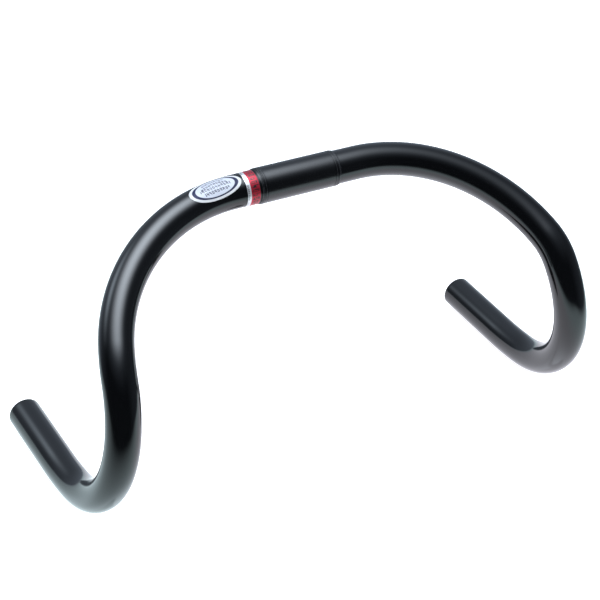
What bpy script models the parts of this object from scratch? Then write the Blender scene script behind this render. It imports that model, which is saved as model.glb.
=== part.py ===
"""Drop handlebar for a track bicycle: one bent tube, a clamp sleeve, a foil band and an oval label.

Run with blender --background --python part.py, or from Blender's text editor. Units are metres.
The origin is the middle of the clamp sleeve. +X runs along the sleeve towards the rider's left hand,
-Y is forward, +Z is up, and the two straight drops lie level and parallel to Y.
"""

import math

import bmesh
import bpy
from mathutils import Matrix, Vector

# Tube
TUBE_RADIUS = 0.0119
TUBE_WALL = 0.0020
TUBE_SIDES = 24
STEP_ANGLE = math.radians(6.0)  # largest turn between two rings of a bend

# Bends of one half, from the middle outwards. A roll is the side that a bend turns towards:
# 0 is forward, 90 degrees is down, carried along the tube without twist.
FLAT_LENGTH = 0.047
SHOULDER_RADIUS = 0.125
SHOULDER_ANGLE = math.radians(72.0)
SHOULDER_ROLL = math.radians(35.0)
KNEE_RADIUS = 0.057
KNEE_ANGLE = math.radians(23.0)
KNEE_ROLL = math.radians(96.0)
HOOK_RADIUS = 0.073
RELIEF_RADIUS = 0.220
RELIEF_ANGLE = math.radians(8.0)
DROP_LENGTH = 0.064

# Clamp sleeve
SLEEVE_RADIUS = 0.0127
SLEEVE_HALF_LENGTH = 0.031
SLEEVE_CHAMFER_LENGTH = 0.0013
SLEEVE_CHAMFER_DEPTH = 0.00035
SLEEVE_SIDES = 48

# Foil band and oval label
FIT_GAP = 0.0003
FOIL_THICKNESS = 0.00012
BAND_LENGTH = 0.0105
LABEL_CENTRE = 0.0632  # along the tube from the middle
LABEL_TURN = math.radians(70.0)  # from forward towards up
LABEL_HALF_LENGTH = 0.0196
LABEL_HALF_WIDTH = 0.0096
LABEL_SPOKES = 40
LABEL_RINGS = 5

DROP_DIRECTION = Vector((0.0, 1.0, 0.0))


def clear_scene():
    for old in list(bpy.data.objects):
        bpy.data.objects.remove(old, do_unlink=True)


def material(name, color, roughness, metallic=0.0):
    made = bpy.data.materials.new(name)
    made.use_nodes = True
    shader = made.node_tree.nodes["Principled BSDF"]
    shader.inputs["Base Color"].default_value = (*color, 1.0)
    shader.inputs["Roughness"].default_value = roughness
    shader.inputs["Metallic"].default_value = metallic
    return made


def add_object(name, bm, finish):
    """Turns the mesh's faces outwards and links it as a smooth-shaded object with its material."""
    bmesh.ops.recalc_face_normals(bm, faces=bm.faces)
    mesh = bpy.data.meshes.new(name)
    bm.to_mesh(mesh)
    bm.free()
    mesh.materials.append(finish)
    mesh.shade_smooth()
    mesh.set_sharp_from_angle(angle=math.radians(30.0))
    made = bpy.data.objects.new(name, mesh)
    bpy.context.scene.collection.objects.link(made)
    return made


def bend_turn(head, radius, roll):
    """Centre and axis of a bend that starts at the section head, whose local X is the tube's run."""
    side = Vector((0.0, -math.cos(roll), -math.sin(roll)))
    centre = head @ (radius * side)
    axis = head.to_3x3() @ Vector((1.0, 0.0, 0.0)).cross(side)
    return centre, axis


def bent(head, radius, roll, angle):
    centre, axis = bend_turn(head, radius, roll)
    turn = Matrix.Rotation(angle, 4, axis)
    return Matrix.Translation(centre) @ turn @ Matrix.Translation(-centre) @ head


def hook_towards_drop(head):
    """Angle and roll of the bend that leaves the tube parallel to the drop's direction."""
    local = head.to_3x3().inverted() @ DROP_DIRECTION
    return local.angle(Vector((1.0, 0.0, 0.0))), math.atan2(-local.z, -local.y)


def half_bends():
    """The bends of one half as (radius, angle, roll), in order from the middle."""
    bends = [
        (SHOULDER_RADIUS, SHOULDER_ANGLE, SHOULDER_ROLL),
        (KNEE_RADIUS, KNEE_ANGLE, KNEE_ROLL),
    ]
    head = Matrix.Translation((FLAT_LENGTH, 0.0, 0.0))
    for radius, angle, roll in bends:
        head = bent(head, radius, roll, angle)
    angle, roll = hook_towards_drop(head)
    bends.append((HOOK_RADIUS, angle - RELIEF_ANGLE, roll))
    bends.append((RELIEF_RADIUS, RELIEF_ANGLE, roll))
    return bends


def station(distance):
    """Section matrix on the right half, at this distance along the tube from the middle."""
    head = Matrix.Translation((min(distance, FLAT_LENGTH), 0.0, 0.0))
    left = distance - FLAT_LENGTH
    for radius, angle, roll in half_bends():
        if left <= 0.0:
            return head
        turned = min(angle, left / radius)
        head = bent(head, radius, roll, turned)
        left -= turned * radius
    return head @ Matrix.Translation((max(left, 0.0), 0.0, 0.0))


def feed(bm, loop, head, length):
    """Extrudes the section straight on, as a tube fed through the bender."""
    step = head.to_3x3() @ Vector((length, 0.0, 0.0))
    grown = bmesh.ops.extrude_edge_only(bm, edges=loop)["geom"]
    points = [item for item in grown if isinstance(item, bmesh.types.BMVert)]
    bmesh.ops.translate(bm, verts=points, vec=step)
    edges = [item for item in grown if isinstance(item, bmesh.types.BMEdge)]
    return edges, head @ Matrix.Translation((length, 0.0, 0.0))


def bend(bm, loop, head, radius, angle, roll):
    """Spins the section round the bend's centre."""
    centre, axis = bend_turn(head, radius, roll)
    points = {point for edge in loop for point in edge.verts}
    spun = bmesh.ops.spin(
        bm,
        geom=list(points) + loop,
        cent=centre,
        axis=axis,
        angle=angle,
        steps=math.ceil(angle / STEP_ANGLE - 1e-6),
    )
    edges = [item for item in spun["geom_last"] if isinstance(item, bmesh.types.BMEdge)]
    return edges, bent(head, radius, roll, angle)


def swept_wall(bm, radius):
    """One skin of the right half, from the middle to the tube's end. Returns its last loop."""
    across = Matrix.Rotation(math.radians(90.0), 4, "Y")
    points = bmesh.ops.create_circle(bm, segments=TUBE_SIDES, radius=radius, matrix=across)["verts"]
    loop = list({edge for point in points for edge in point.link_edges})
    loop, head = feed(bm, loop, Matrix.Identity(4), FLAT_LENGTH)
    for bend_radius, angle, roll in half_bends():
        loop, head = bend(bm, loop, head, bend_radius, angle, roll)
    loop, head = feed(bm, loop, head, DROP_LENGTH)
    return loop


def close_rim(bm, outer, inner):
    """Joins the two skins' last loops: each outer point to the inner point that lies under it."""
    inner_points = {point for edge in inner for point in edge.verts}

    def mate(point):
        return min(inner_points, key=lambda other: (other.co - point.co).length)

    for edge in outer:
        first, second = edge.verts
        bm.faces.new((first, second, mate(second), mate(first)))


def bar_tube(finish):
    """The whole bar: an outer and an inner skin joined by a flat rim at each open end."""
    bm = bmesh.new()
    outer = swept_wall(bm, TUBE_RADIUS)
    inner = swept_wall(bm, TUBE_RADIUS - TUBE_WALL)
    close_rim(bm, outer, inner)
    everything = bm.verts[:] + bm.edges[:] + bm.faces[:]
    bmesh.ops.mirror(bm, geom=everything, matrix=Matrix.Identity(4), merge_dist=1e-6, axis="X")
    return add_object("bar_tube", bm, finish)


def turned_ring(name, profile, sides, finish):
    """A closed profile of (x, radius) corners turned about the X axis."""
    bm = bmesh.new()
    corners = [bm.verts.new((x, 0.0, radius)) for x, radius in profile]
    edges = [bm.edges.new((corners[i - 1], corners[i])) for i in range(len(corners))]
    bmesh.ops.spin(
        bm,
        geom=corners + edges,
        cent=(0.0, 0.0, 0.0),
        axis=(1.0, 0.0, 0.0),
        angle=math.tau,
        steps=sides,
        use_merge=True,
    )
    bmesh.ops.remove_doubles(bm, verts=bm.verts, dist=1e-6)
    return add_object(name, bm, finish)


def clamp_sleeve(finish):
    """The straight collar that the stem grips, with a chamfer at each end."""
    inside = TUBE_RADIUS + FIT_GAP
    full = SLEEVE_HALF_LENGTH - SLEEVE_CHAMFER_LENGTH
    lip = SLEEVE_RADIUS - SLEEVE_CHAMFER_DEPTH
    profile = [
        (-SLEEVE_HALF_LENGTH, inside),
        (-SLEEVE_HALF_LENGTH, lip),
        (-full, SLEEVE_RADIUS),
        (full, SLEEVE_RADIUS),
        (SLEEVE_HALF_LENGTH, lip),
        (SLEEVE_HALF_LENGTH, inside),
    ]
    return turned_ring("clamp_sleeve", profile, SLEEVE_SIDES, finish)


def foil_band(finish):
    """The printed foil wrapped once round the tube beside the sleeve, on the -X side."""
    near = -(SLEEVE_HALF_LENGTH + FIT_GAP)
    far = near - BAND_LENGTH
    inside = TUBE_RADIUS + FIT_GAP
    outside = inside + FOIL_THICKNESS
    profile = [(far, inside), (far, outside), (near, outside), (near, inside)]
    return turned_ring("foil_band", profile, SLEEVE_SIDES, finish)


def label_point(along, across, lift):
    """A point of the label: along the tube, round the tube, and above its surface."""
    radius = TUBE_RADIUS + lift
    turn = LABEL_TURN + across / radius
    around = Vector((0.0, -math.cos(turn), math.sin(turn)))
    point = station(LABEL_CENTRE + along) @ (radius * around)
    return Vector((-point.x, point.y, point.z))


def label_skin(bm, lift):
    """One skin of the label as rings of points round a middle point. Returns its outer edges."""
    middle = bm.verts.new(label_point(0.0, 0.0, lift))
    rings = []
    for ring in range(1, LABEL_RINGS + 1):
        reach = ring / LABEL_RINGS
        angles = [math.tau * spoke / LABEL_SPOKES for spoke in range(LABEL_SPOKES)]
        rings.append([
            bm.verts.new(
                label_point(
                    reach * LABEL_HALF_LENGTH * math.cos(angle),
                    reach * LABEL_HALF_WIDTH * math.sin(angle),
                    lift,
                )
            )
            for angle in angles
        ])
    for spoke in range(LABEL_SPOKES):
        bm.faces.new((middle, rings[0][spoke - 1], rings[0][spoke]))
    for inner, outer in zip(rings, rings[1:]):
        for spoke in range(LABEL_SPOKES):
            bm.faces.new((inner[spoke - 1], outer[spoke - 1], outer[spoke], inner[spoke]))
    rim = rings[-1]
    return [bm.edges.get((rim[spoke - 1], rim[spoke])) for spoke in range(LABEL_SPOKES)]


def oval_label(finish):
    """The oval sticker on top of the bend, curved along the tube and round it."""
    bm = bmesh.new()
    below = label_skin(bm, FIT_GAP)
    above = label_skin(bm, FIT_GAP + FOIL_THICKNESS)
    bmesh.ops.bridge_loops(bm, edges=below + above)
    return add_object("oval_label", bm, finish)


def main():
    clear_scene()
    bar_tube(material("gloss_black_paint", (0.006, 0.007, 0.009), 0.12))
    clamp_sleeve(material("satin_black_paint", (0.012, 0.013, 0.016), 0.35))
    foil_band(material("red_foil", (0.62, 0.03, 0.06), 0.30, metallic=0.4))
    oval_label(material("label_vinyl", (0.85, 0.87, 0.92), 0.35))


main()
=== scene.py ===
# %% [markdown]
# # A drop handlebar for a track bicycle
#
# The real bar starts as a straight alloy tube. A clamp sleeve is slid to its middle, both halves
# are bent in a tube bender, the bar is painted, and a printed foil band and an oval label are
# stuck on beside the sleeve. This lesson works in that order too. Every piece is first made as
# straight stock along X, where a ring is a ring and a label is a flat oval, and then one Geometry
# Nodes tree bends it along the bar's centre line.
#
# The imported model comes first, because it says how big everything is.

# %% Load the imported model
import math

import bpy
from mathutils import Matrix, Vector


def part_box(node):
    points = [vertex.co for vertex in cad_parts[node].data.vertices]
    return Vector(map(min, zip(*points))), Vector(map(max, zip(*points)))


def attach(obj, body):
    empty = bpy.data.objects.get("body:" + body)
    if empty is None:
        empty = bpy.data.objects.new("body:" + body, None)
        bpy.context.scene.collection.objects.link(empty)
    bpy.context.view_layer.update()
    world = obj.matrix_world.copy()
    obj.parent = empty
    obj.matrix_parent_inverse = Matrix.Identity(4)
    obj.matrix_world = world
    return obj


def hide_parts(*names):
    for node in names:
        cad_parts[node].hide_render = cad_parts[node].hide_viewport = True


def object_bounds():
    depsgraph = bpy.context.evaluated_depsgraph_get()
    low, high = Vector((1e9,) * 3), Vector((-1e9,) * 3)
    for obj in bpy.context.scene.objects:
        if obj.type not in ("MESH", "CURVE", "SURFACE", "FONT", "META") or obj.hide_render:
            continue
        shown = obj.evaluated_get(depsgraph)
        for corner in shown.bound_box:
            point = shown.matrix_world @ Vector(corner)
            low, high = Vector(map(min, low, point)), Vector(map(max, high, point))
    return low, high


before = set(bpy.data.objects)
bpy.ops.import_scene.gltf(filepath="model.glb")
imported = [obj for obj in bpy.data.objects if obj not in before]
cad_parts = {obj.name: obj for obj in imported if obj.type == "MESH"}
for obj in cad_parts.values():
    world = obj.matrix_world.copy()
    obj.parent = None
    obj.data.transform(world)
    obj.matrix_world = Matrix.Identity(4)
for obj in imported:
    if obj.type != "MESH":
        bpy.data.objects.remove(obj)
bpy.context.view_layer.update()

print("nodes:", sorted(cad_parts))

# %% [markdown]
# ## Sizes
#
# All sizes are in metres. The sleeve and the band are measured on the imported nodes, so they
# can't drift away from the model. The label's place and size are given here as numbers. The tube's
# own sizes and its bends can't be read off a box, so they are given here as the bender's settings.

# %% Sizes of the straight pieces
sleeve_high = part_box("clamp_sleeve")[1]
band_low, band_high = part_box("foil_band")
TUBE_RADIUS = 0.0119
TUBE_WALL = 0.0020
SLEEVE_RADIUS = sleeve_high.z
SLEEVE_HALF_LENGTH = sleeve_high.x
BAND_NEAR = band_high.x
BAND_FAR = band_low.x
LABEL_CENTRE = -0.0632
LABEL_TURN = math.radians(70.0)  # from forward towards up
LABEL_HALF_LENGTH = 0.0196
LABEL_HALF_WIDTH = 0.0096
print(f"sleeve {2000 * SLEEVE_HALF_LENGTH:.1f} mm long, {2000 * SLEEVE_RADIUS:.1f} mm across")
print(f"band {1000 * (BAND_NEAR - BAND_FAR):.1f} mm wide")

# %% [markdown]
# ## The centre line
#
# A bender makes arcs, so the centre line is a chain of them: a flat stretch in the clamp, the
# shoulder that sweeps forward and down, a short knee, the hook, a slight relief bend and the
# straight drop. Each bend has a radius, an angle and a roll, which is the side it turns towards.
# The hook's angle isn't a free choice: it is whatever brings the tube parallel to the drops.

# %% Bender settings
FLAT_LENGTH = 0.047
# A bend is (radius, angle, roll).
SHOULDER = (0.125, math.radians(72.0), math.radians(35.0))
KNEE = (0.057, math.radians(23.0), math.radians(96.0))
HOOK_RADIUS = 0.073
RELIEF_RADIUS = 0.220
RELIEF_ANGLE = math.radians(8.0)
DROP_LENGTH = 0.064
ALONG_TUBE = Vector((1.0, 0.0, 0.0))
DROP_DIRECTION = Vector((0.0, 1.0, 0.0))


def bent(head, radius, angle, roll):
    """The section after a bend. A section is a matrix whose local X is the tube's run."""
    side = Vector((0.0, -math.cos(roll), -math.sin(roll)))
    centre = head @ (radius * side)
    axis = head.to_3x3() @ ALONG_TUBE.cross(side)
    turn = Matrix.Rotation(angle, 4, axis)
    return Matrix.Translation(centre) @ turn @ Matrix.Translation(-centre) @ head


def all_bends():
    """The bends of one half as (radius, angle, roll), from the middle outwards."""
    head = Matrix.Translation((FLAT_LENGTH, 0.0, 0.0))
    for bend in (SHOULDER, KNEE):
        head = bent(head, *bend)
    towards_drop = head.to_3x3().inverted() @ DROP_DIRECTION
    angle = towards_drop.angle(ALONG_TUBE)
    roll = math.atan2(-towards_drop.z, -towards_drop.y)
    hook = (HOOK_RADIUS, angle - RELIEF_ANGLE, roll)
    relief = (RELIEF_RADIUS, RELIEF_ANGLE, roll)
    return [SHOULDER, KNEE, hook, relief]


BENDS = all_bends()
HALF_LENGTH = FLAT_LENGTH + sum(radius * angle for radius, angle, roll in BENDS) + DROP_LENGTH
print(f"the tube is {2000 * HALF_LENGTH:.1f} mm long before it is bent")


# %% Walk along the centre line
LINE_SPACING = 0.0008


def place_on_line(distance):
    """The section this far along the tube from the middle, on the +X half."""
    head = Matrix.Translation((min(distance, FLAT_LENGTH), 0.0, 0.0))
    left = distance - FLAT_LENGTH
    for radius, angle, roll in BENDS:
        turned = min(max(left, 0.0) / radius, angle)
        head = bent(head, radius, turned, roll)
        left -= angle * radius
    return head @ Matrix.Translation((max(left, 0.0), 0.0, 0.0))


def centre_line():
    """One half of the centre line as a curve of short straight steps."""
    steps = math.ceil(HALF_LENGTH / LINE_SPACING)
    data = bpy.data.curves.new("centre_line", "CURVE")
    data.dimensions = "3D"
    spline = data.splines.new("POLY")
    spline.points.add(steps)
    for step, point in enumerate(spline.points):
        place = place_on_line(HALF_LENGTH * step / steps).translation
        point.co = (*place, 1.0)
    line = bpy.data.objects.new("centre_line", data)
    bpy.context.scene.collection.objects.link(line)
    return line


LINE = centre_line()
print(f"the drop ends at {[round(1000 * n, 1) for n in place_on_line(HALF_LENGTH).translation]} mm")

# %% [markdown]
# ## Writing node trees as arithmetic
#
# Both the bending tree and the paints need a lot of small sums. Wrapping an output socket in a
# class that knows `+`, `-`, `*`, `/`, `<`, `>` and `abs` lets them read like sums, and every sum
# adds its Math node. Everything else goes through one method, `node`, which sets a node up and
# then connects it.


# %% A wire that can be reckoned with
class Wire:
    """An output socket of a node tree."""

    def __init__(self, tree, socket=None):
        self.tree = tree
        self.socket = socket

    def node(self, kind, settings=None, values=None, output=0):
        """Adds a node: its settings first, then the numbers or wires of its inputs."""
        made = self.tree.nodes.new(kind)
        for name, setting in (settings or {}).items():
            if name == "stops":
                set_stops(made.color_ramp, setting)
            else:
                setattr(made, name, setting)
        for name, value in (values or {}).items():
            if isinstance(value, Wire):
                self.tree.links.new(value.socket, made.inputs[name])
            else:
                made.inputs[name].default_value = value
        return Wire(self.tree, made.outputs[output] if len(made.outputs) else None)

    def out(self, output):
        """Another output of the node that this wire comes from."""
        return Wire(self.tree, self.socket.node.outputs[output])

    def math(self, operation, *values):
        return self.node("ShaderNodeMath", {"operation": operation}, dict(enumerate(values)))

    def vector(self, operation, *values):
        return self.node("ShaderNodeVectorMath", {"operation": operation}, dict(enumerate(values)))

    def __add__(self, other):
        return self.math("ADD", self, other)

    def __sub__(self, other):
        return self.math("SUBTRACT", self, other)

    def __rsub__(self, other):
        return self.math("SUBTRACT", other, self)

    def __mul__(self, other):
        return self.math("MULTIPLY", self, other)

    def __truediv__(self, other):
        return self.math("DIVIDE", self, other)

    def __lt__(self, other):
        return self.math("LESS_THAN", self, other)

    def __gt__(self, other):
        return self.math("GREATER_THAN", self, other)

    def __abs__(self):
        return self.math("ABSOLUTE", self)

    def root(self):
        return self.math("SQRT", self)

    def larger(self, other):
        return self.math("MAXIMUM", self, other)

    __radd__ = __add__
    __rmul__ = __mul__


def set_stops(ramp, stops):
    """Gives a colour ramp these (position, colour) stops."""
    while len(ramp.elements) < len(stops):
        ramp.elements.new(1.0)
    for element, (position, color) in zip(ramp.elements, stops):
        element.position = position
        element.color = (*color, 1.0)


# %% [markdown]
# ## The bending tree
#
# A point of straight stock has an X, which says how far along the tube it sits, and a Y and a Z,
# which say where it sits in the tube's section. Sample Curve finds the place, the run and the
# normal at that distance. A curve starts with its normal towards -Y when it runs along X, and
# carries it without twist, exactly as a tube is carried through a bender. So the bent point is
# the place, less Y times the normal, less Z times the third direction. The bar is symmetrical:
# the tree bends both halves alike and gives X its sign back.
#
# The straight place is kept as an attribute, in millimetres. Paint, print and turning marks are
# drawn on it later, so that they follow the tube round every bend.

# %% Build the bending tree
MM = 1000.0


def scaled(vector, amount):
    """A vector made longer by a number or a wire."""
    settings = {"operation": "SCALE"}
    return vector.node("ShaderNodeVectorMath", settings, {"Vector": vector, "Scale": amount})


def bending_tree():
    tree = bpy.data.node_groups.new("bend_the_tube", "GeometryNodeTree")
    tree.is_modifier = True
    sockets = (
        ("Stock", "INPUT", "NodeSocketGeometry"),
        ("Centre line", "INPUT", "NodeSocketObject"),
        ("Finish", "INPUT", "NodeSocketMaterial"),
        ("Bent stock", "OUTPUT", "NodeSocketGeometry"),
    )
    for name, way, kind in sockets:
        tree.interface.new_socket(name, in_out=way, socket_type=kind)
    given = Wire(tree).node("NodeGroupInput", output="Stock")
    place = given.node("GeometryNodeInputPosition")
    marked = given.node(
        "GeometryNodeStoreNamedAttribute",
        {"data_type": "FLOAT_VECTOR", "domain": "POINT"},
        {"Geometry": given, "Name": "straight", "Value": scaled(place, MM)},
    )
    x = place.node("ShaderNodeSeparateXYZ", values={0: place})
    line = given.node("GeometryNodeObjectInfo", values={"Object": given.out("Centre line")})
    sample = line.node(
        "GeometryNodeSampleCurve",
        {"mode": "LENGTH", "use_all_curves": True},
        {"Curves": line.out("Geometry"), "Length": abs(x)},
        output="Position",
    )
    normal = sample.out("Normal")
    third = sample.vector("CROSS_PRODUCT", sample.out("Tangent"), normal)

    section = sample.vector("ADD", scaled(normal, x.out("Y")), scaled(third, x.out("Z")))
    bent_place = sample.vector("SUBTRACT", sample, section)
    side = x.node("ShaderNodeCombineXYZ", values={"X": x.math("SIGN", x), "Y": 1.0, "Z": 1.0})
    moved = marked.node(
        "GeometryNodeSetPosition",
        values={"Geometry": marked, "Position": bent_place.vector("MULTIPLY", bent_place, side)},
    )
    real = moved.node("GeometryNodeRealizeInstances", values={"Geometry": moved})
    dressed = real.node(
        "GeometryNodeSetMaterial",
        values={"Geometry": real, "Material": given.out("Finish")},
    )
    dressed.node("NodeGroupOutput", values={"Bent stock": dressed})
    return tree


BENDING_TREE = bending_tree()
print("bending tree:", len(BENDING_TREE.nodes), "nodes")


# %% Bend a straight mesh and fix it in place
def bend_stock(name, stock, finish):
    """Runs straight stock through the bending tree and returns the piece as a plain mesh."""
    holder = bpy.data.objects.new(name + "_stock", stock)
    bpy.context.scene.collection.objects.link(holder)
    modifier = holder.modifiers.new("bend", "NODES")
    modifier.node_group = BENDING_TREE
    given = {"Centre line": LINE, "Finish": finish}
    for item in BENDING_TREE.interface.items_tree:
        if item.in_out == "INPUT" and item.name in given:
            modifier[item.identifier] = given[item.name]
    graph = bpy.context.evaluated_depsgraph_get()
    mesh = bpy.data.meshes.new_from_object(holder.evaluated_get(graph))
    mesh.name = name
    piece = bpy.data.objects.new(name, mesh)
    bpy.context.scene.collection.objects.link(piece)
    holder.modifiers.remove(modifier)
    bpy.data.objects.remove(holder)
    print(f"{name}: {len(mesh.vertices)} points, {len(mesh.polygons)} faces")
    return piece


# %% [markdown]
# ## Turned stock
#
# The tube, the sleeve and the band are all round, so each is an outline of (x, radius) corners
# turned about X. A long straight face needs rings along it, or it couldn't bend, and a rim needs
# a small round, or it wouldn't catch the light.


# %% Outlines and turning
ON_PAINT = 0.00001  # the underside of a sticker, just clear of the tube


def face_between(start, end, radius, spacing):
    """Outline corners from one end of a cylinder to the other, with a ring at every spacing."""
    steps = max(1, math.ceil(abs(end - start) / spacing))
    return [(start + (end - start) * step / steps, radius) for step in range(steps + 1)]


def round_corner(x, radius, size, first, steps=4):
    """A quarter round about (x, radius). First is the angle it starts at, from +X to outwards."""
    angles = [math.radians(first - 90.0 * step / steps) for step in range(steps + 1)]
    return [(x + size * math.cos(turn), radius + size * math.sin(turn)) for turn in angles]


def turned(name, outline, sides, sharp=math.radians(40.0)):
    """A closed outline turned about X, as a mesh with its faces outwards."""
    points = []
    for x, radius in outline:
        for side in range(sides):
            turn = math.tau * side / sides
            points.append((x, -radius * math.cos(turn), radius * math.sin(turn)))
    faces = []
    for ring in range(len(outline)):
        after = (ring + 1) % len(outline)
        for side in range(sides):
            beside = (side + 1) % sides
            corners = (ring * sides + side, ring * sides + beside)
            faces.append((*corners, after * sides + beside, after * sides + side))
    mesh = bpy.data.meshes.new(name)
    mesh.from_pydata(points, [], faces)
    mesh.validate()
    mesh.shade_smooth()
    mesh.set_sharp_from_angle(angle=sharp)
    return mesh


# %% [markdown]
# ## The tube
#
# The bore is modelled too, because the drops end in open mouths. Its wall is 2 mm, and both rims
# are broken with a small round as a deburring tool leaves them.

# %% Tube stock
TUBE_SIDES = 96
TUBE_RING_SPACING = 0.0025
BORE_RING_SPACING = 0.0050
RIM_ROUND = 0.00035


def tube_outline():
    """The tube's wall as one closed outline: out along its skin and back along its bore."""
    bore = TUBE_RADIUS - TUBE_WALL
    end = HALF_LENGTH - RIM_ROUND
    skin = face_between(-end, end, TUBE_RADIUS, TUBE_RING_SPACING)[1:-1]
    lining = face_between(end, -end, bore, BORE_RING_SPACING)[1:-1]
    right_outer = round_corner(end, TUBE_RADIUS - RIM_ROUND, RIM_ROUND, 90.0)
    right_inner = round_corner(end, bore + RIM_ROUND, RIM_ROUND, 0.0)
    left_inner = round_corner(-end, bore + RIM_ROUND, RIM_ROUND, -90.0)
    left_outer = round_corner(-end, TUBE_RADIUS - RIM_ROUND, RIM_ROUND, 180.0)
    return skin + right_outer + right_inner + lining + left_inner + left_outer


tube_stock = turned("bar_tube_skin", tube_outline(), TUBE_SIDES)
print("tube stock:", len(tube_stock.polygons), "faces")

# %% [markdown]
# ## The clamp sleeve
#
# The sleeve is turned on a lathe: a plain cylinder with a shallow step and fine grooves near each
# end, then a chamfer down to the tube.

# %% Sleeve stock
SLEEVE_SIDES = 144
SLEEVE_STEP = 0.0013
SLEEVE_STEP_DEPTH = 0.00030
GROOVE_PLACES = (0.0266, 0.0279, 0.0290)
GROOVE_HALF_WIDTH = 0.00028
GROOVE_DEPTH = 0.00022
PLAIN_PLACES = (0.0, 0.013, 0.026)
EDGE_ROUND = 0.0001
END_ROUND = 0.0002


def sleeve_half_outline():
    """The outer outline from the middle to the +X end."""
    edge = SLEEVE_HALF_LENGTH - SLEEVE_STEP
    outline = [(place, SLEEVE_RADIUS) for place in PLAIN_PLACES]
    for place in GROOVE_PLACES:
        outline.append((place - GROOVE_HALF_WIDTH, SLEEVE_RADIUS))
        outline.append((place, SLEEVE_RADIUS - GROOVE_DEPTH))
        outline.append((place + GROOVE_HALF_WIDTH, SLEEVE_RADIUS))
    outline += round_corner(edge - EDGE_ROUND, SLEEVE_RADIUS - EDGE_ROUND, EDGE_ROUND, 90.0, 2)
    step_radius = SLEEVE_RADIUS - SLEEVE_STEP_DEPTH
    outline.append((edge, step_radius))
    end = SLEEVE_HALF_LENGTH - END_ROUND
    outline += round_corner(end, step_radius - END_ROUND, END_ROUND, 90.0, 3)
    outline.append((SLEEVE_HALF_LENGTH, TUBE_RADIUS + 0.00002))
    return outline


def sleeve_outline():
    right = sleeve_half_outline()
    left = [(-x, radius) for x, radius in reversed(right[1:])]
    return left + right


sleeve_stock = turned("clamp_sleeve_shell", sleeve_outline(), SLEEVE_SIDES, math.radians(20.0))
print("sleeve stock:", len(sleeve_stock.polygons), "faces")

# %% [markdown]
# ## The foil band
#
# The band is one strip of foil wrapped once round the tube against the sleeve, red for two thirds
# of its width and silver for the rest.

# %% Band stock
FOIL_LIFT = 0.00012
BAND_GAP = 0.0006
band_near = BAND_NEAR - BAND_GAP
band_outline = [
    (BAND_FAR, TUBE_RADIUS + ON_PAINT),
    (BAND_FAR, TUBE_RADIUS + FOIL_LIFT),
    *face_between(BAND_FAR + 0.0001, band_near - 0.0001, TUBE_RADIUS + FOIL_LIFT + 0.00002, 0.002),
    (band_near, TUBE_RADIUS + FOIL_LIFT),
    (band_near, TUBE_RADIUS + ON_PAINT),
]
band_stock = turned("foil_wrap", band_outline, SLEEVE_SIDES)
print("band stock:", len(band_stock.polygons), "faces")

# %% [markdown]
# ## The oval label
#
# On the straight tube the label is a plain oval: X runs along the tube and the other way runs
# round it. It is made as rings of points about a middle point, so that its edge is a true oval.
# The outer rings fall away to the paint, as the cut edge of thick vinyl does.

# %% Label stock
LABEL_LIFT = 0.00016
LABEL_SPOKES = 144
LABEL_RINGS = 24


def label_place(reach, spoke, lift):
    """A point of the straight label. Reach runs from 0 in the middle to 1 at the edge."""
    turn = math.tau * spoke / LABEL_SPOKES
    x = LABEL_CENTRE + reach * LABEL_HALF_LENGTH * math.cos(turn)
    around = LABEL_TURN + reach * LABEL_HALF_WIDTH * math.sin(turn) / TUBE_RADIUS
    radius = TUBE_RADIUS + lift
    return (x, -radius * math.cos(around), radius * math.sin(around))


def label_mesh():
    rings = [(ring / LABEL_RINGS * 0.985, LABEL_LIFT) for ring in range(1, LABEL_RINGS + 1)]
    rings += [(0.993, 0.85 * LABEL_LIFT), (1.0, 0.4 * LABEL_LIFT), (1.0, ON_PAINT)]
    points = [label_place(0.0, 0, LABEL_LIFT)]
    for reach, lift in rings:
        points += [label_place(reach, spoke, lift) for spoke in range(LABEL_SPOKES)]
    for ring in range(LABEL_RINGS - 1, 0, -1):
        lower = [label_place(ring / LABEL_RINGS, spoke, ON_PAINT) for spoke in range(LABEL_SPOKES)]
        points += lower
    points.append(label_place(0.0, 0, ON_PAINT))
    ring_count = (len(points) - 2) // LABEL_SPOKES
    faces = []
    for spoke in range(LABEL_SPOKES):
        beside = (spoke + 1) % LABEL_SPOKES
        faces.append((0, 1 + spoke, 1 + beside))
        last = 1 + (ring_count - 1) * LABEL_SPOKES
        faces.append((len(points) - 1, last + beside, last + spoke))
        for ring in range(ring_count - 1):
            inner = 1 + ring * LABEL_SPOKES
            outer = inner + LABEL_SPOKES
            faces.append((inner + spoke, outer + spoke, outer + beside, inner + beside))
    mesh = bpy.data.meshes.new("label_stock")
    mesh.from_pydata(points, [], faces)
    mesh.validate()
    mesh.shade_smooth()
    return mesh


label_stock = label_mesh()
print("label stock:", len(label_stock.polygons), "faces")

# %% [markdown]
# ## Materials
#
# Every paint reads the straight place of the point it covers. From it come the distance along the
# tube, the distance from the tube's axis and the turn round it, all in millimetres and radians.


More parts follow.
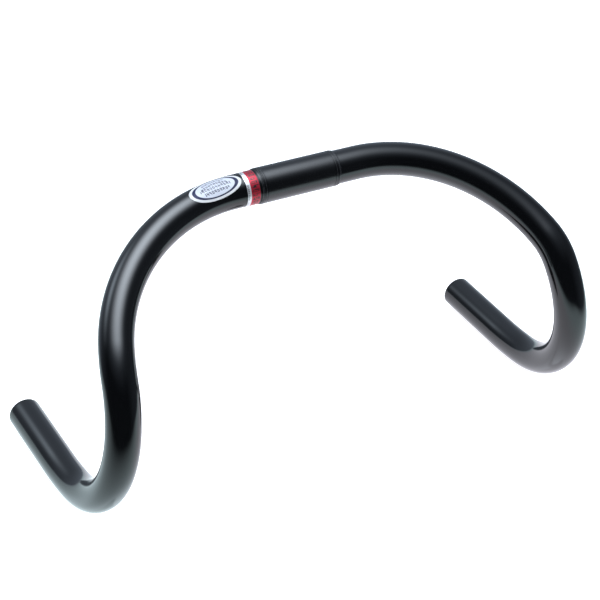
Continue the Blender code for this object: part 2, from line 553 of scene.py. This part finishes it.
# %% Start a material
class Surface:
    """A material under construction, with the coordinates that its pattern is drawn on."""

    def __init__(self, name):
        self.material = bpy.data.materials.new(name)
        self.material.use_nodes = True
        self.tree = self.material.node_tree
        self.shader = self.tree.nodes["Principled BSDF"]
        self.object = Wire(self.tree).node("ShaderNodeTexCoord", output="Object")
        self.straight = self.object.node(
            "ShaderNodeAttribute", {"attribute_name": "straight"}, output="Vector"
        )
        self.along = self.object.node("ShaderNodeSeparateXYZ", values={0: self.straight})
        y = self.along.out("Y")
        z = self.along.out("Z")
        self.radius = (y * y + z * z).root()
        self.turn = y.math("ARCTAN2", z, 0.0 - y)

    def feed(self, **inputs):
        """Connects wires to the shader, or sets its sockets. Names use _ for a space."""
        for name, value in inputs.items():
            socket = self.shader.inputs[name.replace("_", " ").title().replace("Ior", "IOR")]
            if isinstance(value, Wire):
                self.tree.links.new(value.socket, socket)
            else:
                socket.default_value = value

    def bump(self, height, distance, strength=1.0):
        made = height.node(
            "ShaderNodeBump",
            values={"Height": height, "Distance": distance, "Strength": strength},
        )
        self.feed(normal=made)


def mix(factor, first, second):
    """A colour between two, where factor is 0 for the first and 1 for the second."""
    values = {0: factor}
    for index, color in ((6, first), (7, second)):
        values[index] = color if isinstance(color, Wire) else (*color, 1.0)
    return factor.node("ShaderNodeMix", {"data_type": "RGBA"}, values, output=2)


def ramp_up(value, low, high):
    """0 below low, 1 above high and a smooth step between."""
    settings = {"interpolation_type": "SMOOTHSTEP"}
    values = {"Value": value, "From Min": low, "From Max": high}
    return value.node("ShaderNodeMapRange", settings, values)


def noise(place, scale, detail=2.0, roughness=0.5):
    values = {"Vector": place, "Scale": scale, "Detail": detail, "Roughness": roughness}
    return place.node("ShaderNodeTexNoise", values=values)


# %% [markdown]
# ### Gloss black paint
#
# The paint is nearly as black as paint gets, so all that shows of it is what it mirrors. Sprayed
# paint is never quite flat: a slow ripple called orange peel bends the reflections a little, and
# handling leaves a haze that blurs them in places. Inside the mouths the spray thins out and bare
# alloy shows.

# %% Gloss black paint
OVERSPRAY_DEPTH = 14.0


def gloss_black_paint():
    made = Surface("gloss_black_paint")
    haze = noise(made.object, 22.0, 3.0)
    fine = noise(made.object, 900.0, 2.0)
    depth = HALF_LENGTH * MM - abs(made.along)
    in_bore = 1.0 - ramp_up(made.radius, 10.0, 10.4)
    bare = in_bore * ramp_up(depth + 6.0 * noise(made.object, 300.0), 4.0, OVERSPRAY_DEPTH)
    paint = mix(haze, (0.0008, 0.0009, 0.0012), (0.0014, 0.0015, 0.0019))
    alloy = mix(fine, (0.50, 0.50, 0.51), (0.68, 0.68, 0.69))
    made.feed(
        base_color=mix(bare, paint, alloy),
        roughness=0.07 + 0.04 * haze + 0.02 * fine + 0.30 * bare,
        metallic=bare,
        ior=1.5,
    )
    peel = noise(made.object, 330.0, 1.0)
    made.bump(peel + 0.15 * fine, 0.00002, 0.35)
    return made.material


# %% [markdown]
# ### Satin black paint
#
# The sleeve has the same black over a turned surface, with a duller clear coat. Fine rings left
# by the lathe run round it, and near its ends the paint is rubbed thin on a few of them.

# %% Satin black paint
WORN_RINGS = ((0.8, 0.20), (1.6, 0.16), (3.5, 0.14))  # from the sleeve's end, and how wide


def satin_black_paint():
    made = Surface("satin_black_paint")
    rings = made.along.node(
        "ShaderNodeTexNoise",
        {"noise_dimensions": "1D"},
        {"W": made.along, "Scale": 3.0, "Detail": 3.0},
    )
    grain = noise(made.object, 1400.0, 2.0)
    mottle = noise(made.object, 60.0, 3.0)
    from_end = SLEEVE_HALF_LENGTH * MM - abs(made.along)
    worn = 0.0
    for place, width in WORN_RINGS:
        worn = worn + (1.0 - ramp_up(abs(from_end - place), 0.3 * width, width))
    worn = worn * ramp_up(noise(made.object, 140.0), 0.30, 0.55)
    paint = mix(mottle, (0.0010, 0.0011, 0.0014), (0.0018, 0.0020, 0.0025))
    made.feed(
        base_color=mix(worn, paint, (0.045, 0.047, 0.052)),
        roughness=0.15 + 0.06 * rings + 0.05 * mottle,
        ior=1.5,
    )
    made.bump(rings + 0.4 * grain, 0.00004, 0.5)
    return made.material


# %% [markdown]
# ### Print
#
# The label and the band carry rows of small print. Here each row is only a row of marks: a cell
# repeats along the row, and random numbers for each cell set how wide its upright strokes are, how
# far up or down they reach and where bars cross them. It has the tone of print and says nothing.

# %% A row of marks
def print_row(across, up, pitch, height, seed):
    """1 on the marks of one row. Across runs along the row and up runs over its height."""
    counted = across / pitch + seed
    cell = counted.math("FLOOR", counted)
    part = counted - cell

    def chance(salt):
        values = {"W": cell + salt}
        return cell.node("ShaderNodeTexWhiteNoise", {"noise_dimensions": "1D"}, values)

    def near(value, middle, reach):
        return abs(value - middle) < reach

    level = up / height + 0.5
    left = near(part, 0.20, 0.08 + 0.07 * chance(0.11)) * (level > 0.5 * chance(0.23) - 0.1)
    right = near(part, 0.66, 0.07 + 0.07 * chance(0.37)) * (level < 0.5 + 0.6 * chance(0.41))
    low_bar = near(level, 0.12 + 0.4 * chance(0.53), 0.10) * near(part, 0.43, 0.30)
    high_bar = near(level, 0.55 + 0.38 * chance(0.67), 0.09) * near(part, 0.40, 0.28)
    marks = left
    for other in (right, low_bar, high_bar):
        marks = marks.larger(other)
    return marks * near(level, 0.5, 0.5)


# %% [markdown]
# ### Foil
#
# The band's foil is a metallised film: red lacquer over silver for most of its width, with a bare
# silver margin, and dark print on both. A thin dark strip along the edge against the sleeve is
# painted shade, standing in for the shade that falls in the gap between the band and the sleeve.

# %% Printed foil
RED_WIDTH = 7.0
FOIL_PRINT_HEIGHT = 5.0
# How wide the painted shade along the edge against the sleeve is, in millimetres.
PAINTED_SHADE_WIDTH = 0.35


def red_foil():
    made = Surface("red_foil")
    around = made.turn * (TUBE_RADIUS * MM)
    from_sleeve = band_near * MM - made.along
    red = 1.0 - ramp_up(from_sleeve, RED_WIDTH, RED_WIDTH + 0.15)
    marks = print_row(around, from_sleeve - 0.5 * RED_WIDTH, 2.9, FOIL_PRINT_HEIGHT, 42.0)
    small = print_row(around, from_sleeve - RED_WIDTH - 1.9, 1.3, 1.3, 11.0)
    small_zone = ramp_up(made.turn, -0.20, -0.15) * (1.0 - ramp_up(made.turn, 0.75, 0.80))
    top_zone = ramp_up(made.turn, 1.55, 1.60) * (1.0 - ramp_up(made.turn, 2.20, 2.25))
    crinkle = noise(made.object, 500.0, 2.0)
    patchy = noise(made.object, 260.0, 2.0)
    tint = mix(crinkle, (0.36, 0.012, 0.026), (0.52, 0.024, 0.050))
    silver = mix(crinkle, (0.62, 0.63, 0.65), (0.78, 0.79, 0.81))
    foil = mix(red, silver, tint)
    print_and_painted_shade = marks * red * (0.55 + 0.45 * ramp_up(patchy, 0.35, 0.60))
    print_and_painted_shade = print_and_painted_shade.larger(small * (small_zone + top_zone) * (1.0 - red))
    # Painted shade: a dark strip on the foil's edge against the sleeve, joined to the dark of the
    # print.
    edge = 1.0 - ramp_up(from_sleeve, PAINTED_SHADE_WIDTH, PAINTED_SHADE_WIDTH + 0.2)
    print_and_painted_shade = print_and_painted_shade.larger(edge)
    made.feed(
        base_color=mix(print_and_painted_shade, foil, (0.006, 0.002, 0.003)),
        metallic=0.50 - 0.45 * print_and_painted_shade,
        roughness=0.28 + 0.10 * crinkle,
    )
    made.bump(crinkle, 0.00003, 0.4)
    return made.material


# %% [markdown]
# ### Label
#
# The label is white vinyl with a navy ring between two ovals, thicker at the ends than along the
# sides, and four rows of dark print inside it. The top two are arched to follow the ring.

# %% Printed vinyl
NAVY_OUTER = (17.3, 7.9)
NAVY_INNER = (14.7, 7.0)
ARCH_RADIUS = 30.0
# A row is its middle, its cells' pitch, its height, its seed, its half length and if it is arched.
PRINT_ROWS = (
    (5.0, 1.6, 1.5, 3.0, 8.4, True),
    (2.6, 2.0, 1.9, 31.0, 10.0, True),
    (-0.2, 2.1, 2.2, 7.0, 11.6, False),
    (-3.3, 2.1, 2.4, 19.0, 9.6, False),
)


def label_vinyl():
    made = Surface("label_vinyl")
    across = made.along - LABEL_CENTRE * MM
    up = (made.turn - LABEL_TURN) * (TUBE_RADIUS * MM)

    def reach(half_sizes):
        """1 on the oval with these half sizes, less inside it and more outside."""
        length, width = half_sizes
        ratio = across * across / length**2 + up * up / width**2
        return ratio.root()

    outer = reach(NAVY_OUTER)
    inner = reach(NAVY_INNER)
    ring = (1.0 - ramp_up(outer, 0.99, 1.01)) * ramp_up(inner, 0.985, 1.015)
    arch = up + across * across / (2.0 * ARCH_RADIUS)
    rows = 0.0
    for middle, pitch, height, seed, half_length, arched in PRINT_ROWS:
        over = (arch if arched else up) - middle
        rows = rows + print_row(across, over, pitch, height, seed) * (abs(across) < half_length)
    grain = noise(made.object, 1200.0, 2.0)
    rim = ramp_up(inner, 0.98, 1.02)
    vinyl = mix(grain, (0.68, 0.72, 0.82), (0.76, 0.79, 0.87))
    vinyl = mix(rim, vinyl, (0.84, 0.85, 0.86))
    inked = mix(rows * 0.95, vinyl, (0.030, 0.034, 0.075))
    made.feed(
        base_color=mix(ring, inked, (0.005, 0.009, 0.050)),
        roughness=0.34 + 0.06 * grain,
        ior=1.3,
    )
    made.bump(grain, 0.00001, 0.3)
    return made.material


# %% [markdown]
# ## Bend and dress the pieces
#
# Each piece goes through the same tree, rides on the bar's only body and stands for the plain
# node that it replaces.

# %% Finish the four pieces
PIECES = (
    ("bar_tube_painted", tube_stock, gloss_black_paint(), "bar_tube", "gloss_black_paint"),
    ("clamp_sleeve_turned", sleeve_stock, satin_black_paint(), "clamp_sleeve", "satin_black_paint"),
    ("foil_band_printed", band_stock, red_foil(), "foil_band", "red_foil"),
    ("oval_label_printed", label_stock, label_vinyl(), "oval_label", "label_vinyl"),
)

for piece_name, stock, finish, node, slot in PIECES:
    piece = bend_stock(piece_name, stock, finish)
    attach(piece, "root")
    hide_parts(node)

bpy.data.objects.remove(LINE)

# %% [markdown]
# ## Studio
#
# A black mirror shows its surroundings, so the studio is as much a part of the look as the paint.
# The bar lies on a white table. One big soft box hangs over it, a smaller one stands behind on the
# left, and the room is dark on the camera's side and paler at the back. The boxes glow brightest in
# the middle and fade towards their edges, as a lamp behind cloth does. The table glows the same
# way,
# but it is no lamp: its glow is painted light, the light that the boxes would throw on a white
# table.
#
# The floor that the camera sees and the table that the paint mirrors are two separate sheets. The
# first is endless and pale. The second ends where a real table would, so that the paint has
# something dark to show beyond it, and it is a little glossy itself. A small dark block under the
# bar shows only in the paint, as a thin dark line along the shoulders.

# %% Glowing sheets
FLOOR_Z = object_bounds()[0][2]
GLOW_REACH = 2.4  # a glow has faded to almost nothing this many falloffs from its middle


def sheet(name, material, left, right, front, back):
    """A flat rectangle in its own XY plane that belongs to the studio and not to the bar."""
    corners = [(left, front, 0.0), (right, front, 0.0), (right, back, 0.0), (left, back, 0.0)]
    mesh = bpy.data.meshes.new(name)
    mesh.from_pydata(corners, [], [(0, 1, 2, 3)])
    mesh.materials.append(material)
    made = bpy.data.objects.new(name, mesh)
    bpy.context.scene.collection.objects.link(made)
    return made


def glow(name, light, cover, gloss=0.0):
    """A glowing material. Light is a colour or draws one, and cover says where it is solid."""
    material = bpy.data.materials.new(name)
    material.use_nodes = True
    tree = material.node_tree
    shader = tree.nodes["Principled BSDF"]
    place = Wire(tree).node("ShaderNodeTexCoord", output="Object")
    x = place.node("ShaderNodeSeparateXYZ", values={0: place})
    y = x.out("Y")
    shader.inputs["Base Color"].default_value = (0.0, 0.0, 0.0, 1.0)
    shader.inputs["Roughness"].default_value = 0.1
    shader.inputs["Specular IOR Level"].default_value = gloss
    shader.inputs["IOR"].default_value = 1.75
    shader.inputs["Emission Strength"].default_value = 1.0
    if callable(light):
        tree.links.new(light(x, y).socket, shader.inputs["Emission Color"])
    else:
        shader.inputs["Emission Color"].default_value = (*light, 1.0)
    clear = place.node("ShaderNodeBsdfTransparent")
    solid = Wire(tree, shader.outputs["BSDF"])
    mixed = clear.node("ShaderNodeMixShader", values={0: cover(x, y), 1: clear, 2: solid})
    tree.links.new(mixed.socket, tree.nodes["Material Output"].inputs["Surface"])
    return material


def mirror_only(made):
    """Hides a studio piece from everything but the gloss of the paint."""
    made.visible_camera = False
    made.visible_diffuse = False
    made.visible_shadow = False


def bell(x, y, width, height):
    """1 in the middle of a sheet, fading away with these distances across and up."""
    ratio = x * x / width**2 + y * y / height**2
    return ratio.math("EXPONENT", 0.0 - ratio)


def soft_box(name, place, target, width, height, color):
    """A sheet that glows towards the target, with its light falling off over width and height."""
    material = glow(name, color, lambda x, y: bell(x, y, width, height))
    across = GLOW_REACH * width
    up = GLOW_REACH * height
    made = sheet(name, material, -across, across, -up, up)
    made.location = place
    made.rotation_euler = (Vector(target) - Vector(place)).to_track_quat("Z", "Y").to_euler()
    mirror_only(made)


# %% Two soft boxes for the gloss and a lamp for the matt surfaces
OVERHEAD_PLACE = (-0.038, 0.017, 0.762)
BELOW_OVERHEAD = (-0.038, 0.017, 0.0)
soft_box("overhead_box", OVERHEAD_PLACE, BELOW_OVERHEAD, 0.37, 0.37, (9.9, 10.9, 12.1))

BACK_LEFT_PLACE = (-0.649, 0.671, 0.532)
LEFT_SHOULDER = (-0.16, -0.05, -0.02)
soft_box("back_left_box", BACK_LEFT_PLACE, LEFT_SHOULDER, 0.27, 0.23, (2.9, 3.4, 3.9))


def matt_lamp():
    """Lights what isn't glossy, from the same side as the overhead box."""
    data = bpy.data.lights.new("matt_lamp", "AREA")
    data.shape = "DISK"
    data.size = 0.9
    data.energy = 9.0
    data.color = (0.93, 0.97, 1.0)
    made = bpy.data.objects.new("matt_lamp", data)
    made.location = (-0.10, 0.05, 1.0)
    made.visible_glossy = False
    bpy.context.scene.collection.objects.link(made)


matt_lamp()

# %% Floor and table
FLOOR_HALF = 6.0
CAMERA_YAW = math.radians(-28.4)
TABLE_LIFT = 0.0002
TABLE_PAINTED_LIGHT = (1.56, 1.57, 1.72)
TABLE_EDGE_PAINTED_LIGHT = (1.52, 1.87, 1.97)
# Each side of the table fades between two places.
TABLE_LEFT = (-0.62, -0.44)
TABLE_RIGHT = (0.35, 0.51)
TABLE_FRONT = (-0.43, -0.16)
TABLE_BACK = (0.60, 0.95)


def pale_floor():
    material = bpy.data.materials.new("pale_floor")
    material.use_nodes = True
    shader = material.node_tree.nodes["Principled BSDF"]
    shader.inputs["Base Color"].default_value = (0.86, 0.86, 0.86, 1.0)
    shader.inputs["Roughness"].default_value = 0.9
    shader.inputs["Specular IOR Level"].default_value = 0.0
    shader.inputs["Emission Color"].default_value = (1.0, 1.0, 1.0, 1.0)
    shader.inputs["Emission Strength"].default_value = 0.95
    return material


def table_cover(x, y):
    """1 on the table, fading out over each edge."""
    left = ramp_up(x, *TABLE_LEFT)
    right = 1.0 - ramp_up(x, *TABLE_RIGHT)
    front = ramp_up(y, *TABLE_FRONT)
    back = 1.0 - ramp_up(y, *TABLE_BACK)
    return left * right * front * back


def table_light(x, y):
    """Painted light, as the soft boxes would light the table: most in the middle, cooler outside.
    """
    middle = ramp_up(bell(x - 0.05, y - 0.05, 0.30, 0.30), 0.35, 0.75)
    tint = mix(middle, TABLE_EDGE_PAINTED_LIGHT, TABLE_PAINTED_LIGHT)
    level = 0.07 + 0.93 * bell(x - 0.10, y + 0.12, 0.60, 0.60)
    return mix(level, (0.0, 0.0, 0.0), tint)


floor = sheet("floor", pale_floor(), -FLOOR_HALF, FLOOR_HALF, -FLOOR_HALF, FLOOR_HALF)
floor.location.z = FLOOR_Z
floor.visible_glossy = False

# The table's glow is painted light: it is no lamp, only what the boxes would show on a white table.
table_top = glow("table_glow", table_light, table_cover, 0.5)
table = sheet("table", table_top, TABLE_LEFT[0], TABLE_RIGHT[1], TABLE_FRONT[0], TABLE_BACK[1])
table.location.z = FLOOR_Z + TABLE_LIFT
table.rotation_euler.z = CAMERA_YAW
mirror_only(table)


# %% A dark block under the bar
def dark_block(low, high):
    """A small prop that only the paint sees, as a thin dark line along the shoulders."""
    material = bpy.data.materials.new("dark_block")
    material.use_nodes = True
    shader = material.node_tree.nodes["Principled BSDF"]
    shader.inputs["Base Color"].default_value = (0.02, 0.02, 0.02, 1.0)
    bpy.ops.mesh.primitive_cube_add(size=1.0, location=(Vector(low) + Vector(high)) / 2.0)
    made = bpy.context.object
    made.name = "dark_block"
    made.scale = Vector(high) - Vector(low)
    made.data.materials.append(material)
    mirror_only(made)


BLOCK_LOW = (-0.016, -0.065, FLOOR_Z + 0.0001)
BLOCK_HIGH = (0.016, 0.012, FLOOR_Z + 0.046)
dark_block(BLOCK_LOW, BLOCK_HIGH)


# %% The room
ROOM_COLOR = (0.85, 1.0, 1.22)
DIM_LEVEL = 0.055
BEHIND_LEVEL = 0.43
RIGHT_LEVEL = 0.13
ABOVE_LEVEL = 1.74


def room():
    """Pale behind, dark on the camera's side, and plain white where the camera looks."""
    world = bpy.data.worlds.new("room")
    world.use_nodes = True
    tree = world.node_tree
    tree.nodes.clear()
    way = Wire(tree).node("ShaderNodeTexCoord", output="Generated")
    x = way.node("ShaderNodeSeparateXYZ", values={0: way})
    y = x.out("Y")
    z = x.out("Z")
    behind = ramp_up(y, 0.07, 0.80) * (1.0 - 0.64 * ramp_up(0.0 - x, 0.45, 0.80))
    right = ramp_up(x, 0.20, 0.90)
    above = (z - 0.35).larger(0.0)
    strength = DIM_LEVEL + BEHIND_LEVEL * behind + RIGHT_LEVEL * right
    strength = strength + ABOVE_LEVEL * above * above
    seen = way.node("ShaderNodeLightPath", output="Is Camera Ray")
    pale = mix(seen, ROOM_COLOR, (1.0, 1.0, 1.0))
    brightness = strength * (1.0 - seen) + seen
    background = way.node("ShaderNodeBackground", values={"Color": pale, "Strength": brightness})
    background.node("ShaderNodeOutputWorld", values={"Surface": background})
    bpy.context.scene.world = world


room()
print("studio:", len(bpy.data.lights), "lamp, floor at", round(MM * FLOOR_Z, 1), "mm")

# %% [markdown]
# ## Camera
#
# A long lens from the front left, a little above the bar, keeps its two halves nearly the same
# size.

# %% Camera
CAMERA_PLACE = (-0.5460, -0.9832, 0.6347)
CAMERA_TURN = (56.787, -1.595, -28.345)  # degrees about X, Y and Z
CAMERA_LENS = 111.95


def camera():
    data = bpy.data.cameras.new("camera")
    data.lens = CAMERA_LENS
    data.sensor_width = 36.0
    made = bpy.data.objects.new("camera", data)
    made.location = CAMERA_PLACE
    made.rotation_euler = [math.radians(turn) for turn in CAMERA_TURN]
    bpy.context.scene.collection.objects.link(made)
    bpy.context.scene.camera = made


camera()
print("camera at", CAMERA_PLACE, "with a lens of", CAMERA_LENS, "mm")
bpy.context.scene.view_settings.view_transform = "Standard"
bpy.context.scene.view_settings.look = "None"
